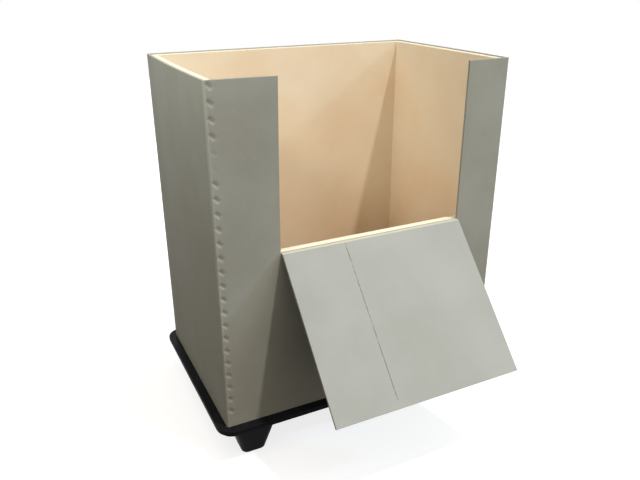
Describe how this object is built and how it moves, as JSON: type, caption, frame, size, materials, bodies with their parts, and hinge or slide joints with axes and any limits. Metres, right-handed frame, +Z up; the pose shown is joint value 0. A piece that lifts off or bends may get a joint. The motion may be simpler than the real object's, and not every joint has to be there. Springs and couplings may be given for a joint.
{
  "type": "bulk pallet box",
  "caption": "Open-topped board bulk box on a black plastic pallet, with a loading opening in its front wall and the flap folded out.",
  "frame": {"origin": "on the floor under the middle of the pallet", "axes": "+Z up, +X to the right along the front, the front with the opening faces -Y"},
  "size_m": [1.2, 1.1731, 1.3753],
  "materials": {
    "black_plastic": "fine moulded texture, slightly scuffed",
    "grey_board": "matte, faint fibre mottling",
    "tan_board": "matte kraft face with paler cut edges"
  },
  "bodies": {
    "box": {"pallet_base": "black_plastic", "outer_sleeve": "grey_board", "inner_liner": "tan_board"},
    "flap": {"access_flap": "grey_board"}
  },
  "joints": [
    {"name": "flap_crease", "type": "hinge", "parent": "box", "child": "flap", "pos_m": [0.024, -0.3663, 0.7903], "axis": [1, 0, 0], "range_deg": [-137.9, 42.1]}
  ]
}
